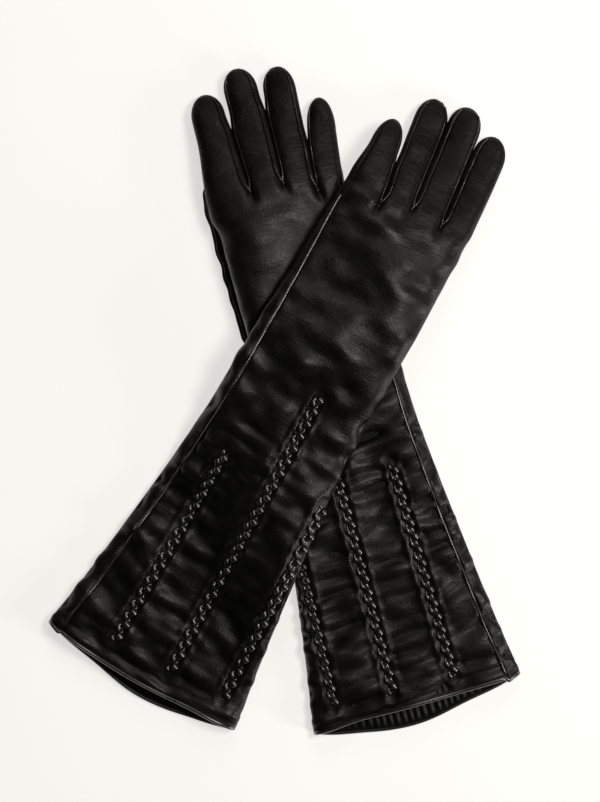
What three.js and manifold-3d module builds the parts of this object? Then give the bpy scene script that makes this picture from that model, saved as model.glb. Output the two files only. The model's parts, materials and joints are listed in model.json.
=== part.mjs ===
// A pair of elbow-length black leather dress gloves, laid crossed on a table: the right-hand glove
// below, the left-hand glove draped over it. Millimetres, +Z up, gloves pointing roughly along +Y.
// Each glove is built in its own frame: x across the hand (+ towards the thumb), y from the cuff hem
// to the fingertips, z up from the table.
import * as THREE from 'three';
import ManifoldModule from 'manifold-3d';

const wasm = await ManifoldModule();
wasm.setup();

// Materials and thicknesses
const LEATHER = 1.0;
const FACING = 0.8;
const LINING = 0.6;
const GAP = 0.4; // between neighbouring pieces of leather
const LINING_CLEARANCE = 0.2; // more, between the leather and what lies inside it

// Hand and shaft: half widths at distances from the hem, and the height of the flattened tube
const OUTLINE = [
  { y: 0, little: 67.5, thumb: 66.5 },
  { y: 30, little: 62.2, thumb: 61.5 },
  { y: 60, little: 58.2, thumb: 57.8 },
  { y: 120, little: 51.2, thumb: 51.2 },
  { y: 170, little: 46.7, thumb: 46.2 },
  { y: 205, little: 45.6, thumb: 45.2 },
  { y: 265, little: 43.5, thumb: 46.8 },
  { y: 334, little: 42.2, thumb: 45.8 },
];
const SHAFT_HEIGHT = 10;
const HAND_HEIGHT = 11;
const FINGER_ROOT_Y = 334;
const SEAM_INSET = 9; // the outer seam runs on the back, this far in from the little-finger edge
const HEM_CURVE = { back: 4, palm: 14, fades: 60 }; // how far each side of the hem bows out
const CUFF_FACING = { from: 1.5, to: 30 }; // distances from the hem
const STATION_STEP = 13; // between the sections of a glove or finger where it bends

// Braid rows on the back of each glove: position across the back at the hem and at the top end
const BRAIDS = [
  { name: 'little_side_braid', hem: -26.0, top: -21.0, from: 8, to: 147 },
  { name: 'middle_braid', hem: 13.5, top: 11.5, from: 9, to: 204 },
  { name: 'thumb_side_braid', hem: 51.0, top: 44.5, from: 12, to: 147 },
];
const BRAID_HALF_WIDTH = 3.7;
const BRAID_HEIGHT = 2.0;
const BRAID_LIFT = 1.1; // clear of the leather under it
const BRAID_PITCH = 4.3; // one bead of either column

// Thumb: it lies under the palm, pointing to the fingertips, and turns about its round opening
const THUMB = { x: 30, y: 250, opening: 9, height: 6.5, clearance: 1.6 };
const THUMB_SHAPE = [
  { along: -15, half: 6, rise: 0.36 },
  { along: -11.5, half: 11, rise: 0.72 },
  { along: -6, half: 14.2, rise: 0.97 },
  { along: 2, half: 15, rise: 1 },
  { along: 30, half: 13.8, rise: 1 },
  { along: 62, half: 12, rise: 1 },
  { along: 82, half: 10.8, rise: 0.97 },
  { along: 90, half: 9, rise: 0.8 },
  { along: 95, half: 6.4, rise: 0.55 },
  { along: 97, half: 4, rise: 0.36 },
];

// The two gloves as they lie: where the middle of the cuff is, which way the glove points, which
// side its thumb is on, and where each finger starts and ends
const GLOVES = {
  right: {
    cuff: [169.9, -18.0],
    angle: 105.3,
    thumbSide: -1,
    thumbSwing: 0,
    fingers: [
      { name: 'little', root: [-42.0, -24.4], tip: [-38.4, 377.5], tipHalf: 8.7 },
      { name: 'ring', root: [-23.2, -4.6], tip: [-18.0, 403], tipHalf: 9.7 },
      { name: 'middle', root: [-3.4, 16.6], tip: [6.2, 408], tipHalf: 10.2 },
      { name: 'index', root: [17.8, 44.2], tip: [30.4, 397.5], tipHalf: 10.2 },
    ],
  },
  left: {
    cuff: [0, 0],
    angle: 61,
    thumbSide: 1,
    thumbSwing: 4,
    fingers: [
      { name: 'little', root: [-41.4, -14.2], tip: [-31.6, 375], tipHalf: 8.7 },
      { name: 'ring', root: [-13.0, 4.8], tip: [-13.0, 399.5], tipHalf: 9.7 },
      { name: 'middle', root: [6.0, 25.6], tip: [7.6, 405], tipHalf: 10.2 },
      { name: 'index', root: [26.8, 45.6], tip: [29.2, 396], tipHalf: 9.9 },
    ],
  },
};
const FINGER_HEIGHT = 11;
const FOURCHETTE_ANGLE = 27; // half of the side wall of a finger, in degrees of its section
const FOURCHETTE_ENDS = 0.86; // share of the finger's length
const FOURCHETTE_CLEAR = 3.5; // between the side wall and the panels, in degrees of the section
const TIP_LENGTH = 14; // the rounded end of a finger
const TIP_SECTIONS = [
  { back: 0.28, wide: 0.94, high: 0.94 },
  { back: 0.1, wide: 0.78, high: 0.7 },
  { back: 0, wide: 0.5, high: 0.3 },
];

// How far the hand tilts up over its own thumb, and the left glove over the right one
const TILT = { height: THUMB.height + THUMB.clearance, from: -43, across: 58, starts: 190, grows: 50 };
const TILT_ENDS = { from: 335, over: 65 };
const DRAPE = { clearance: 1.0, flat: 50, falls: 60 };

const smooth = (t) => {
  const s = Math.min(1, Math.max(0, t));
  return s * s * (3 - 2 * s);
};
const radians = THREE.MathUtils.degToRad;

function outline(y) {
  const last = OUTLINE.length - 2;
  const i = Math.max(0, Math.min(last, OUTLINE.findIndex((row) => row.y > y) - 1));
  const k = y >= OUTLINE.at(-1).y ? last : i;
  const [a, b] = [OUTLINE[k], OUTLINE[k + 1]];
  const t = (y - a.y) / (b.y - a.y);
  const half = THREE.MathUtils.lerp(SHAFT_HEIGHT, HAND_HEIGHT, smooth((y - 170) / 60)) / 2;
  return {
    little: THREE.MathUtils.lerp(a.little, b.little, t),
    thumb: THREE.MathUtils.lerp(a.thumb, b.thumb, t),
    half,
  };
}

// Height that the hand is raised by the thumb under it
function tilt(x, y) {
  const across = smooth((x - TILT.from) / TILT.across);
  const along = smooth((y - TILT.starts) / TILT.grows);
  return TILT.height * across * along * (1 - smooth((y - TILT_ENDS.from) / TILT_ENDS.over));
}

// From a glove's own frame to the table
function toTable(glove, x, y) {
  const a = radians(glove.angle);
  const across = x * glove.thumbSide;
  return [
    glove.cuff[0] + y * Math.cos(a) + across * Math.sin(a),
    glove.cuff[1] + y * Math.sin(a) - across * Math.cos(a),
  ];
}

// Height that the left glove is raised by the right one under it
function drape(glove, x, y) {
  if (glove !== GLOVES.left) return 0;
  const under = GLOVES.right;
  const [px, py] = toTable(glove, x, y);
  const a = radians(under.angle);
  const [dx, dy] = [px - under.cuff[0], py - under.cuff[1]];
  const across = (dx * Math.sin(a) - dy * Math.cos(a)) * under.thumbSide;
  const along = dx * Math.cos(a) + dy * Math.sin(a);
  const top = HAND_HEIGHT + BRAID_LIFT + BRAID_HEIGHT + DRAPE.clearance + tilt(across, along);
  return top * smooth((DRAPE.flat + DRAPE.falls - Math.abs(across)) / DRAPE.falls);
}

// A closed solid from an outer and an inner grid of points, [station][point]. A ring closes on
// itself across; a capped one is also closed by a face over its last station.
function solid(outer, inner, { ring = false, capped = false } = {}) {
  const rows = outer.length;
  const cols = outer[0].length;
  const points = [...outer.flat(), ...inner.flat()];
  const faces = [];
  const at = (layer, i, j) => layer * rows * cols + i * cols + (j % cols);
  const quad = (a, b, c, d) => faces.push([a, b, c], [a, c, d]);
  const spans = ring ? cols : cols - 1;
  for (let i = 0; i < rows - 1; i++) {
    for (let j = 0; j < spans; j++) {
      quad(at(0, i, j), at(0, i, j + 1), at(0, i + 1, j + 1), at(0, i + 1, j));
      quad(at(1, i, j), at(1, i + 1, j), at(1, i + 1, j + 1), at(1, i, j + 1));
    }
  }
  for (let j = 0; j < spans; j++) {
    quad(at(0, 0, j), at(1, 0, j), at(1, 0, j + 1), at(0, 0, j + 1));
    if (!capped) {
      const end = rows - 1;
      quad(at(0, end, j), at(0, end, j + 1), at(1, end, j + 1), at(1, end, j));
    }
  }
  if (!ring) {
    for (let i = 0; i < rows - 1; i++) {
      quad(at(0, i, 0), at(0, i + 1, 0), at(1, i + 1, 0), at(1, i, 0));
      const j = cols - 1;
      quad(at(0, i, j), at(1, i, j), at(1, i + 1, j), at(0, i + 1, j));
    }
  }
  if (capped) {
    for (let j = 1; j < cols - 1; j++) {
      faces.push([at(0, rows - 1, 0), at(0, rows - 1, j), at(0, rows - 1, j + 1)]);
      faces.push([at(1, rows - 1, 0), at(1, rows - 1, j + 1), at(1, rows - 1, j)]);
    }
  }
  return { points, faces };
}

// A solid bar from a grid of closed sections
function bar(sections) {
  const cols = sections[0].length;
  const faces = [];
  for (let i = 0; i < sections.length - 1; i++) {
    for (let j = 0; j < cols; j++) {
      const [a, b] = [i * cols + j, i * cols + ((j + 1) % cols)];
      faces.push([a, b, b + cols], [a, b + cols, a + cols]);
    }
  }
  const end = (sections.length - 1) * cols;
  for (let j = 1; j < cols - 1; j++) {
    faces.push([0, j + 1, j], [end, end + j, end + j + 1]);
  }
  return { points: sections.flat(), faces };
}

// The shape with a round hole through it, straight down at x, y
function cut(shape, x, y, radius) {
  const mesh = new wasm.Mesh({
    numProp: 3,
    vertProperties: new Float32Array(shape.points.flat()),
    triVerts: new Uint32Array(shape.faces.flat()),
  });
  const tool = wasm.Manifold.cylinder(80, radius, radius, 20).translate([x, y, -20]);
  let body = new wasm.Manifold(mesh);
  if (body.volume() < 0) throw new Error('a shape to cut is inside out');
  body = body.subtract(tool);
  const made = body.getMesh();
  const points = [];
  for (let i = 0; i < made.numVert; i++) {
    points.push([...made.vertProperties.slice(i * made.numProp, i * made.numProp + 3)]);
  }
  const faces = [];
  for (let i = 0; i < made.numTri; i++) faces.push([...made.triVerts.slice(i * 3, i * 3 + 3)]);
  return { points, faces };
}

// The shape as built has to face outwards; mirroring and the order of a grid can turn it over
function outward(shape) {
  let volume = 0;
  for (const [a, b, c] of shape.faces) {
    const [p, q, r] = [shape.points[a], shape.points[b], shape.points[c]];
    volume += p[0] * (q[1] * r[2] - q[2] * r[1]);
    volume += p[1] * (q[2] * r[0] - q[0] * r[2]);
    volume += p[2] * (q[0] * r[1] - q[1] * r[0]);
  }
  if (volume < 0) shape.faces = shape.faces.map(([a, b, c]) => [a, c, b]);
  return shape;
}

const leather = () => new THREE.MeshStandardMaterial({ color: 0x1a1918, roughness: 0.42 });
const lace = () => new THREE.MeshStandardMaterial({ color: 0x242322, roughness: 0.3 });
const lining = () => new THREE.MeshStandardMaterial({ color: 0x0e0e10, roughness: 0.9 });

const group = new THREE.Group();
group.name = 'leather_gloves';

// Puts a shape that was built in a glove's frame on the table, raised by whatever lies under it
function place(side, name, shape, material, raise) {
  const glove = GLOVES[side];
  shape.points = shape.points.map(([x, y, z]) => [...toTable(glove, x, y), z + raise(x, y)]);
  outward(shape);
  const geometry = new THREE.BufferGeometry();
  geometry.setAttribute('position', new THREE.Float32BufferAttribute(shape.points.flat(), 3));
  geometry.setIndex(shape.faces.flat());
  geometry.computeVertexNormals();
  const mesh = new THREE.Mesh(geometry, material);
  mesh.name = `${side}_${name}`;
  group.add(mesh);
}

// A point of the hand's section: a is the way round from the middle of the back towards the
// thumb, deep is how far inside the outer face
function skin(y, a, deep) {
  const { thumb, little, half } = outline(y);
  const flat = (a > 0 ? thumb : little) - half;
  const side = Math.sign(a) || 1;
  const round = Math.abs(a) - flat;
  if (round <= 0) return [a, 2 * half - deep];
  const turn = Math.min(Math.PI, round / half);
  const along = Math.max(0, round - Math.PI * half);
  return [
    side * (flat + (half - deep) * Math.sin(turn) - along),
    half + (half - deep) * Math.cos(turn),
  ];
}

// The hem bows out, more on the palm side than on the back, so that the mouth shows
function hem(y, x, z) {
  const { thumb, half } = outline(y);
  const bow = (z > half ? HEM_CURVE.back : HEM_CURVE.palm) * (1 - Math.min(1, (x / thumb) ** 2));
  return y - bow * Math.max(0, 1 - y / HEM_CURVE.fades);
}

function skinPoint(y, a, deep) {
  const [x, z] = skin(y, a, deep);
  return [x, hem(y, x, z), z];
}

// Places across the section, as ways round it. The panels and the lining share the ones on the flat.
const ACROSS = 6;
const ARC = { coarse: [0.5], fine: [0.3, 0.65] };
function flatPlaces(y) {
  const { thumb, little, half } = outline(y);
  return Array.from({ length: ACROSS + 1 }, (_, i) => (
    THREE.MathUtils.lerp(half - little, thumb - half, i / ACROSS)
  ));
}
function underneath(y) {
  const { thumb, little, half } = outline(y);
  return flatPlaces(y).reverse().map((x) => (
    x >= 0 ? 2 * (thumb - half) + Math.PI * half - x : -2 * (little - half) - Math.PI * half - x
  ));
}
function backWays(y) {
  const { thumb, little, half } = outline(y);
  const quarter = (Math.PI / 2) * half;
  return [
    SEAM_INSET - little,
    ...flatPlaces(y).slice(1),
    ...ARC.fine.map((share) => thumb - half + share * quarter),
    thumb - half + quarter - GAP / 2,
  ];
}
function palmWays(y) {
  const { thumb, little, half } = outline(y);
  const quarter = (Math.PI / 2) * half;
  return [
    thumb - half + quarter + GAP / 2,
    ...ARC.fine.map((share) => thumb - half + quarter * (1 + share)),
    ...underneath(y),
    ...[0.75, 0.5, 0.25, 0].map((share) => half - little - share * 2 * quarter),
    SEAM_INSET - little - GAP,
  ];
}
function liningWays(y) {
  const { thumb, little, half } = outline(y);
  const side = Math.PI * half;
  return [
    ...flatPlaces(y),
    ...ARC.coarse.map((share) => thumb - half + share * side),
    ...underneath(y),
    ...ARC.coarse.map((share) => half - little - share * side),
  ];
}

function stations(from, to, step) {
  const count = Math.max(1, Math.round((to - from) / step));
  return Array.from({ length: count + 1 }, (_, i) => THREE.MathUtils.lerp(from, to, i / count));
}

function skinGrid(ys, ways, deep) {
  return ys.map((y) => ways(y).map((a) => skinPoint(y, a, deep)));
}

// Stations along the hand: close together wherever the glove is raised over something
function handStations(side, from) {
  const bends = side === 'left' ? from : TILT.starts;
  const corners = OUTLINE.map((row) => row.y).filter((y) => y > from && y < bends);
  const straight = side === 'left' ? [] : [from, ...corners];
  return [...straight, ...stations(bends, FINGER_ROOT_Y - GAP / 2, STATION_STEP)];
}

function buildHand(side, raise) {
  const ys = handStations(side, 0);
  const back = solid(skinGrid(ys, backWays, 0), skinGrid(ys, backWays, LEATHER));
  place(side, 'trank_back', back, leather(), raise);

  const palm = outward(solid(skinGrid(ys, palmWays, 0), skinGrid(ys, palmWays, LEATHER)));
  const opened = cut(palm, THUMB.x, THUMB.y, THUMB.opening);
  place(side, 'trank_palm', opened, leather(), raise);

  const inside = LEATHER + GAP + LINING_CLEARANCE;
  const facingYs = stations(CUFF_FACING.from, CUFF_FACING.to, STATION_STEP);
  for (const [name, ways] of [['back', backWays], ['palm', (y) => palmWays(y).slice(0, -1)]]) {
    const [outer, inner] = [inside, inside + FACING].map((deep) => skinGrid(facingYs, ways, deep));
    place(side, `cuff_facing_${name}`, solid(outer, inner), leather(), raise);
  }

  const start = CUFF_FACING.to + 1;
  const liningYs = [start, ...ys.filter((y) => y > start + 3)];
  const outer = skinGrid(liningYs, liningWays, inside);
  const innerSide = skinGrid(liningYs, liningWays, inside + LINING);
  const tube = outward(solid(outer, innerSide, { ring: true }));
  place(side, 'hand_lining', cut(tube, THUMB.x, THUMB.y, THUMB.opening), lining(), raise);
}

// A flat braid of two staggered columns of beads, riding on the back of the glove
function buildBraid(side, row, raise) {
  const ys = stations(row.from, row.to, BRAID_PITCH);
  const sections = ys.map((y, i) => {
    const centre = THREE.MathUtils.lerp(row.hem, row.top, (y - row.from) / (row.to - row.from));
    const ends = i === 0 || i === ys.length - 1;
    const width = BRAID_HALF_WIDTH * (ends ? 0.55 : 1);
    const [high, low] = ends ? [0.45, 0.45] : [1, 0.55];
    const [left, right] = i % 2 ? [high, low] : [low, high];
    const at = (across, up) => skinPoint(y, centre + across * width, -(BRAID_LIFT + up));
    return [
      at(-1, 0),
      at(-1, BRAID_HEIGHT * left * 0.6),
      at(-0.5, BRAID_HEIGHT * left),
      at(0, BRAID_HEIGHT * 0.5),
      at(0.5, BRAID_HEIGHT * right),
      at(1, BRAID_HEIGHT * right * 0.6),
      at(1, 0),
      at(0.35, 0),
      at(-0.35, 0),
    ];
  });
  place(side, row.name, bar(sections), lace(), raise);
}

// The section of a finger or thumb: a flattened oval. turn 0 is its right side, 90 its top.
function oval(halfWidth, halfHeight, turn) {
  const a = radians(turn);
  const power = 0.8;
  const [c, s] = [Math.cos(a), Math.sin(a)];
  return [
    halfWidth * Math.sign(c) * Math.abs(c) ** power,
    halfHeight * Math.sign(s) * Math.abs(s) ** power,
  ];
}

// Stations of a finger from its root to its tip: middle, half width, half height and share
function fingerStations(finger) {
  const rootMid = (finger.root[0] + finger.root[1]) / 2;
  const rootHalf = (finger.root[1] - finger.root[0]) / 2;
  const start = FINGER_ROOT_Y + GAP / 2;
  const length = finger.tip[1] - start;
  const half = FINGER_HEIGHT / 2;
  const at = (y, wide, high) => {
    const share = (y - start) / length;
    const grown = smooth(Math.min(1, share * 1.6));
    const width = THREE.MathUtils.lerp(rootHalf, finger.tipHalf, grown);
    const x = THREE.MathUtils.lerp(rootMid, finger.tip[0], share);
    return { x, y, half: width * wide, rise: half * high, share };
  };
  const body = stations(start, finger.tip[1] - TIP_LENGTH, STATION_STEP).map((y) => at(y, 1, 1));
  const end = TIP_SECTIONS.map(({ back, wide, high }) => (
    at(finger.tip[1] - back * 2 * TIP_LENGTH, wide, high)
  ));
  return [...body, ...end];
}

// A point of a finger or thumb at one of its stations: turn is the way round, deep is how far
// inside the outer face, middle is the height of its axis
function tubePoint(at, turn, deep, shift, middle) {
  const [x, z] = oval(at.half - deep, at.rise - deep, turn);
  return [at.x + x, at.y, middle + z + shift];
}

// Half the angle that a fourchette takes of the section: narrower towards the tip, then none
function wallAngle(share) {
  return share < FOURCHETTE_ENDS ? FOURCHETTE_ANGLE * (1 - 0.7 * (share / FOURCHETTE_ENDS)) : 0;
}

// The upper (up = 1) or lower (up = -1) half of a finger or thumb. Where it has a fourchette
// beside it, at its thumb or its little side, it stops there; elsewhere it goes to the side's middle.
function panelGrid(ys, up, deep, middle, walls = { thumb: false, little: false }) {
  const steps = 6;
  return ys.map((at) => {
    const from = walls.thumb ? wallAngle(at.share) : 0;
    const to = 180 - (walls.little ? wallAngle(at.share) : 0);
    return Array.from({ length: steps + 1 }, (_, j) => (
      tubePoint(at, up * THREE.MathUtils.lerp(from, to, j / steps), deep, (up * GAP) / 2, middle)
    ));
  });
}

function fourchetteGrid(ys, side, deep, middle) {
  const facing = side > 0 ? 0 : 180;
  return ys.map((at) => {
    const half = wallAngle(at.share) - FOURCHETTE_CLEAR;
    return [-1, -0.4, 0.4, 1].map((t) => tubePoint(at, facing + t * half, deep, 0, middle));
  });
}

function buildFinger(side, finger, order, raise) {
  const ys = fingerStations(finger);
  const walls = { thumb: order < 3, little: order > 0 };
  const middle = FINGER_HEIGHT / 2;
  for (const [name, up] of [['back', 1], ['front', -1]]) {
    const grid = (deep) => panelGrid(ys, up, deep, middle, walls);
    const shell = solid(grid(0), grid(LEATHER));
    place(side, `${finger.name}_${name}`, shell, leather(), raise);
  }
  const short = ys.filter((at) => at.share < FOURCHETTE_ENDS);
  for (const [name, towards, there] of [
    ['thumb', 1, walls.thumb],
    ['little', -1, walls.little],
  ]) {
    if (!there) continue;
    const grid = (deep) => fourchetteGrid(short, towards, deep, middle);
    const wall = solid(grid(0), grid(LEATHER));
    place(side, `${finger.name}_fourchette_${name}_side`, wall, leather(), raise);
  }
  buildSock(side, `${finger.name}_lining`, ys.slice(0, -2), middle, raise);
}

// A lining sock: closed at the tip, open at the root
function buildSock(side, name, ys, middle, raise) {
  const turns = Array.from({ length: 8 }, (_, i) => i * 45 + 22.5);
  const outer = LEATHER + GAP + GAP / 2;
  const grid = (rows, deep) => rows.map((at) => (
    turns.map((turn) => tubePoint(at, turn, deep, 0, middle))
  ));
  const shell = solid(grid(ys, outer), grid(ys, outer + LINING), { ring: true, capped: true });
  const rows = ys.length;
  // the inside of the tip stops short of the outside by the thickness of the cloth
  for (let j = 0; j < turns.length; j++) {
    const p = shell.points[rows * turns.length + (rows - 1) * turns.length + j];
    p[1] -= LINING * 2;
  }
  place(side, name, shell, lining(), raise);
}

function buildThumb(side, swing, raise) {
  const middle = THUMB.height / 2;
  const ys = THUMB_SHAPE.map(({ along, half, rise }) => (
    { x: 0, y: along, half, rise: middle * rise, share: 1 }
  ));
  const grid = (up, deep) => panelGrid(ys, up, deep, middle);
  const turned = (shape) => {
    const a = radians(swing);
    shape.points = shape.points.map(([x, y, z]) => [
      THUMB.x + x * Math.cos(a) - y * Math.sin(a),
      THUMB.y + x * Math.sin(a) + y * Math.cos(a),
      z,
    ]);
    return shape;
  };
  const upper = outward(turned(solid(grid(1, 0), grid(1, LEATHER))));
  place(side, 'thumb_upper', cut(upper, THUMB.x, THUMB.y, THUMB.opening), leather(), raise);
  place(side, 'thumb_lower', turned(solid(grid(-1, 0), grid(-1, LEATHER))), leather(), raise);
}

for (const [side, glove] of Object.entries(GLOVES)) {
  const overGlove = (x, y) => drape(glove, x, y);
  const overThumb = (x, y) => drape(glove, x, y) + tilt(x, y);
  buildHand(side, overThumb);
  BRAIDS.forEach((row) => buildBraid(side, row, overThumb));
  glove.fingers.forEach((finger, order) => buildFinger(side, finger, order, overThumb));
  buildThumb(side, glove.thumbSwing, overGlove);
}

const box = new THREE.Box3().setFromObject(group);
const centre = box.getCenter(new THREE.Vector3());
for (const mesh of group.children) {
  mesh.geometry.translate(-centre.x, -centre.y, -box.min.z);
}

export default group;
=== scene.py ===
"""A pair of elbow-length black leather gloves, crossed: the left-hand one lies over the right-hand one.

Lengths in the tables are millimetres in a glove's own frame: x across the hand, positive towards the
thumb, y from the cuff hem to the fingertips, z up from the table. to_row() takes them to the row frame.
"""
import json
import math
import bpy
import numpy as np
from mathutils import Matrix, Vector
from mathutils.bvhtree import BVHTree


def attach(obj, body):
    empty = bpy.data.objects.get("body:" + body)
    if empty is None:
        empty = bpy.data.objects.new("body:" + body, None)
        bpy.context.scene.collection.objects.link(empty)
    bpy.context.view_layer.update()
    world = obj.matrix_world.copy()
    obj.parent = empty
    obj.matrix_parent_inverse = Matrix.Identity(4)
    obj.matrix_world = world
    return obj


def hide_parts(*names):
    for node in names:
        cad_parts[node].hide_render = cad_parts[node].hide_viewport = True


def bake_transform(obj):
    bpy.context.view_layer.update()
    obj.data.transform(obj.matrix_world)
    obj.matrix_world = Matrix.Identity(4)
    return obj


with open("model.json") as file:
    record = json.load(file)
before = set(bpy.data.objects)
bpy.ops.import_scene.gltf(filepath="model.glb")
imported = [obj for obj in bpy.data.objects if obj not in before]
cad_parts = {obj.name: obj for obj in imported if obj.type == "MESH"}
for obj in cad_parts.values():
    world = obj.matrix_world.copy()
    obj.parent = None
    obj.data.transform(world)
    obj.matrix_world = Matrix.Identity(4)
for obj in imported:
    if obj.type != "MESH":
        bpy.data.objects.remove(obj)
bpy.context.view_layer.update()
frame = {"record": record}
MM = 0.001

# ---- the gloves as they lie
OUTLINE_Y = [0, 30, 60, 120, 170, 205, 265, 334]
OUTLINE_LITTLE = [67.5, 62.4, 58.4, 51.2, 46.2, 44.9, 42.8, 40.6]
OUTLINE_THUMB = [67.5, 62.5, 58.2, 51.2, 46.0, 44.8, 46.2, 45.6]
SHAFT_HEIGHT, HAND_HEIGHT = 10.0, 11.0
ROOT_Y = 334.0
CROWN = 1.3  # how much the back bulges up between its edges
SEAM_INSET_Y = [0, 150, 260, 330, 346]  # how far in from the little-finger edge the outer seam runs
SEAM_INSET = [9.0, 8.0, 6.0, 3.0, 0.0]
HEM_PALM, HEM_FADES = 14.0, 60.0  # how far its palm side bows out, and where that ends
BRAIDS = {
    "little_side_braid": {"hem": -26.0, "top": -21.0, "from": 7, "to": 148},
    "middle_braid": {"hem": 13.5, "top": 11.5, "from": 7, "to": 205},
    "thumb_side_braid": {"hem": 51.0, "top": 44.5, "from": 10, "to": 148},
}
THUMB = {"x": 30.0, "y": 250.0, "height": 6.5, "clearance": 1.6}
THUMB_ALONG = [-15, -11.5, -6, 2, 30, 62, 82, 90, 95, 97]
THUMB_HALF = [3, 10.5, 14.2, 15, 13.8, 12, 10.8, 9, 6.4, 2]
THUMB_RISE = [0.2, 0.7, 0.97, 1, 1, 1, 0.97, 0.8, 0.55, 0.2]
TILT_FROM, TILT_ACROSS, TILT_STARTS, TILT_GROWS, TILT_ENDS, TILT_OVER = -43, 76, 190, 50, 335, 65
DRAPE_FLAT, DRAPE_FALLS = 50, 60
SWAY_Y = [0, 100, 200, 400]  # where each glove's sway, its sideways bend, is given
UNDER_DRAPE = 11 + 1.1 + 2.0 + 1.0  # lower glove, its braid and a clearance

GLOVES = {
    "right": {
        "angle": 105.3, "thumb_side": -1, "swing": -3.5,
        "excess": 0.03, "pleats": 1.35, "dents": 0.5, "hem_back": 1.0, "knuckle": 2.6,
        "drawn_in": 3.4, "thumb_out": 2.0, "seed": 11,
        "sway": [-1.2, -2.0, -2.2, -2.2],
        "crotch": [(-23.8, 321), (-4.0, 331), (17.2, 331)],
        "fingers": {
            "little": {"root": (-41.0, -24.4), "tip": (-38.6, 379), "half": 9.0},
            "ring": {"root": (-23.2, -4.6), "tip": (-18.2, 404.6), "half": 10.4},
            "middle": {"root": (-3.4, 16.6), "tip": (6.0, 409.6), "half": 10.8},
            "index": {"root": (17.8, 44.2), "tip": (29.6, 399), "half": 10.8},
        },
    },
    "left": {
        "angle": 61, "thumb_side": 1, "swing": 4,
        "excess": 0.018, "pleats": 0.5, "dents": 0.9, "hem_back": 5.5, "knuckle": 0,
        "drawn_in": 0, "thumb_out": 0, "seed": 23,
        "sway": [0.8, 1.6, 1.8, 1.8],
        "crotch": [(-13.6, 322), (5.4, 331), (26.2, 330)],
        "fingers": {
            "little": {"root": (-38.6, -14.2), "tip": (-29.8, 377.2), "half": 9.4},
            "ring": {"root": (-13.0, 4.8), "tip": (-13.0, 401.8), "half": 10.9},
            "middle": {"root": (6.0, 25.6), "tip": (7.6, 407), "half": 11.0},
            "index": {"root": (26.8, 45.6), "tip": (30.2, 398.4), "half": 10.8},
        },
    },
}
ORDER = ["little", "ring", "middle", "index"]
OUTER_CROTCHES = [(-43, 317), (46, 326)]  # where the hand ends at its two edges
HEM_CORNER = 2.6  # how much longer the cuff is at its thumb-side corner
PALM_NOTCH = {"deep": 3.0, "at": -0.45, "half": 0.35}  # in the hem, as shares of the half width

# ---- the leather as a mesh
LANE = 10  # columns across one finger's share of the back or palm
EDGE = 7  # columns round the thumb-side edge
STRIP = 9  # columns round the little-finger edge and up to the outer seam
GUSSET = 4  # columns across a fourchette
HAND_ROWS, FINGER_ROWS, TIP_ROWS = 150, 24, 8
EDGE_INSET = 3.0
LEATHER = 0.9  # thickness
SEAM_ANGLE = {"little": 50.0, "thumb": 38.0}  # up a finger's side to its back seams, in degrees
TIP_ROUND = 13.0
PRESSED = 0.62  # how far two neighbours' sides cross before subdividing draws them in
TOUCH_ENDS = 30.0  # how far below the shorter fingertip two neighbours start to part
EDGE_AT = 0.42  # height of the folded edge, as a share of the glove's height
SHOULDER, SOLE = 11.0, 7.0  # how far in from the edge the back and the palm round off
CROTCH_DIP = {"back": 2.8, "palm": 2.2, "half": 2.4, "along": 9}  # the hollow below each crotch
FINGER_SPARE = 0.75  # a finger's root is this much wider on each side than its share of the hand
PARTS_OVER = 16.0  # the length over which two neighbours part

# ---- creasing
SIM_SCALE = 0.01  # the cloth solver works best on metre-sized cloth: 1 mm becomes 1 cm
SIM_FRAMES = 26
CLOTH = {
    "quality": 8, "mass": 0.25, "air_damping": 4, "tension_stiffness": 60, "compression_stiffness": 60,
    "shear_stiffness": 25, "bending_stiffness": 45, "tension_damping": 12, "compression_damping": 12,
    "bending_damping": 1, "pin_stiffness": 1.5, "vertex_group_mass": "firm",
}
MOST_MOVED = 5.0  # no point moves further than this as the leather creases
BUMPS = [(0.3, [0.4, 1, 1], 15, 0), (0.8, [1, 1, 1], 55, 1)]  # each a height, stretch, size and seed
HAND_SLACK, FINGER_SLACK = 0.011, 0.018
SLACK_ACROSS = 1.012
HELD = {"anywhere": 0.02, "beside_braid": 0.6, "seam": 0.35, "hem": 0.25}  # 0 is free, 1 is fixed
BRAID_HOLDS = 4.5  # how far out a row of braid holds the leather

# ---- sewing, plaits and hem
BEAD_STEP = 8.6  # from bead to bead in one column of a plait
LIP = {"high": 0.7, "out": 5.2, "half": 1.3, "beads": 0.35}  # leather pushed up beside a plait
BED = {"deep": 0.9, "half": 4.6, "slope": 2.0}  # and pulled down under it
GATHERS = {"high": 0.62, "beads": 0.2, "size": 11, "seed": 5}
DENTS = [(0.8, [0.8, 1, 1], 24, 61), (0.4, [0.6, 1, 1], 13, 62)]
KNUCKLE_AT, KNUCKLE_HALF = (25, 303), (15, 17)
HEM_RIDGE = {"high": 0.3, "at": 4, "half": 2.0}
HEM_LINE = {"deep": 0.3, "at": 7.5, "half": 1.3}  # the groove above the turned hem
SEAM_GROOVE = 1.0
LACE_RADIUS, LACE_SWING = 0.85, 1.75
LACE_PERIOD = 25.8  # three beads, because each lace makes every third one
LACE_STEP, LACE_SIDES, LACE_FLAT = 0.6, 16, 0.72
LACE_DIPS, LACE_ENDS_SINK = 0.2, 2.2  # below the leather's face, between beads and at the row's ends
KNOT_RADIUS = {"high": 2.35, "low": 1.65}  # each bead, on its prouder side and its other side
KNOT_LIFT = {"high": 1.5, "low": 0.45}
KNOT = {"turn": 2.4, "half": 0.42, "power": 1.4}  # where along a lace's turn a bead is, and how long
STITCH, STITCH_GAP, THREAD_RADIUS = 1.7, 0.9, 0.2
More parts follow.
